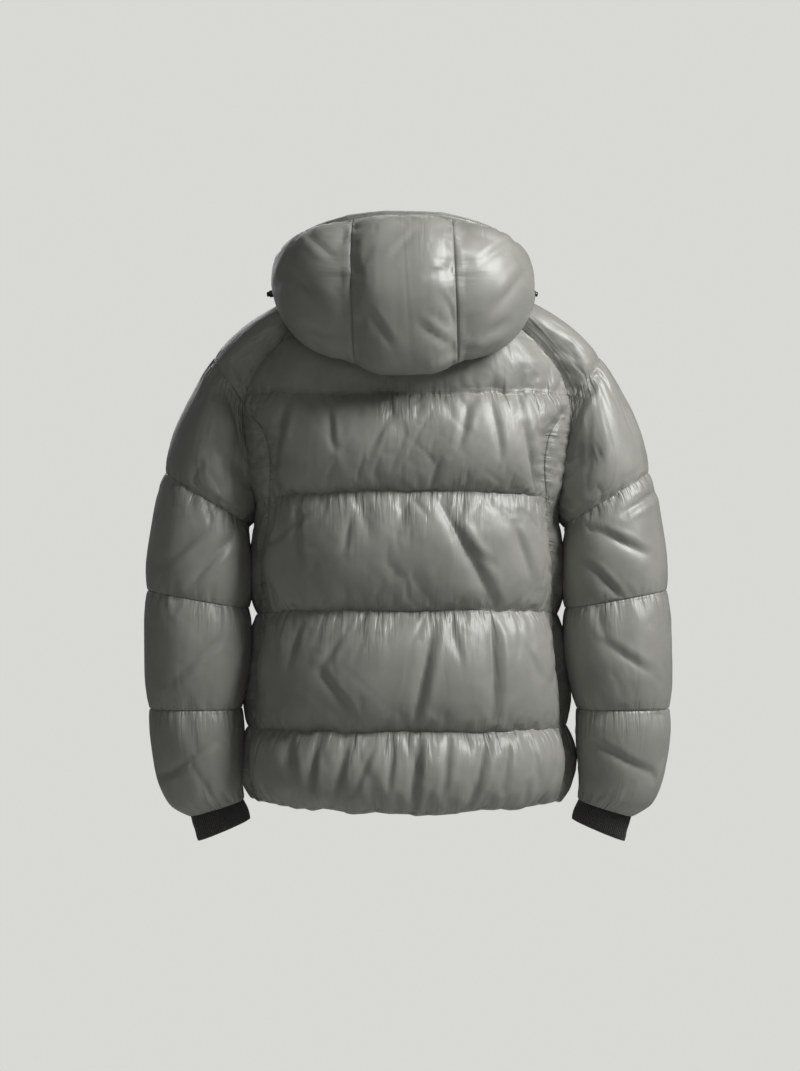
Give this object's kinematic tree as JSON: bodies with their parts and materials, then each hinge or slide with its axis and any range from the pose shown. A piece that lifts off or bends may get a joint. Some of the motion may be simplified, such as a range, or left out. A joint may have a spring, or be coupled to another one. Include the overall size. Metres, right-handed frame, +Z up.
{
  "type": "puffer jacket",
  "caption": "Closed, hip-length quilted puffer jacket in its worn form, with raglan sleeves, rib-knit cuffs, a zipped front and a full hood lying down on the back.",
  "frame": {"origin": "at the base of the neck, between the shoulders, where the wearer or a hanger holds the jacket", "axes": "+Z up, -Y the way the jacket's front faces, +X towards the wearer's left"},
  "size_m": [0.6533, 0.4038, 0.7705],
  "materials": {
    "shell": "smooth nylon with a soft sheen, warm grey",
    "rib_knit": "matt rib knit, charcoal with an olive tint",
    "zip_cloth": "matt woven tape, dark grey",
    "zip_metal": "dark nickel",
    "cord_lock": "black plastic"
  },
  "bodies": {
    "jacket": {"back": "shell", "side_left": "shell", "side_right": "shell", "front_left": "shell", "front_right": "shell", "sleeve_left": "shell", "sleeve_right": "shell", "hood_centre": "shell", "hood_side_left": "shell", "hood_side_right": "shell", "hood_rim": "shell", "cuff_left": "rib_knit", "cuff_right": "rib_knit", "cord_lock_left": "cord_lock", "cord_lock_right": "cord_lock", "zip_tape_left": "zip_cloth", "zip_tape_right": "zip_cloth", "zip_slider": "zip_metal", "zip_box": "zip_metal"},
    "tab": {"pull_tab": "zip_metal"}
  },
  "joints": [
    {"name": "pull_tab_hinge", "type": "hinge", "parent": "jacket", "child": "tab", "pos_m": [0, -0.11817, 0.02692], "axis": [-1, 0, 0], "range_deg": [-25, 160]}
  ]
}
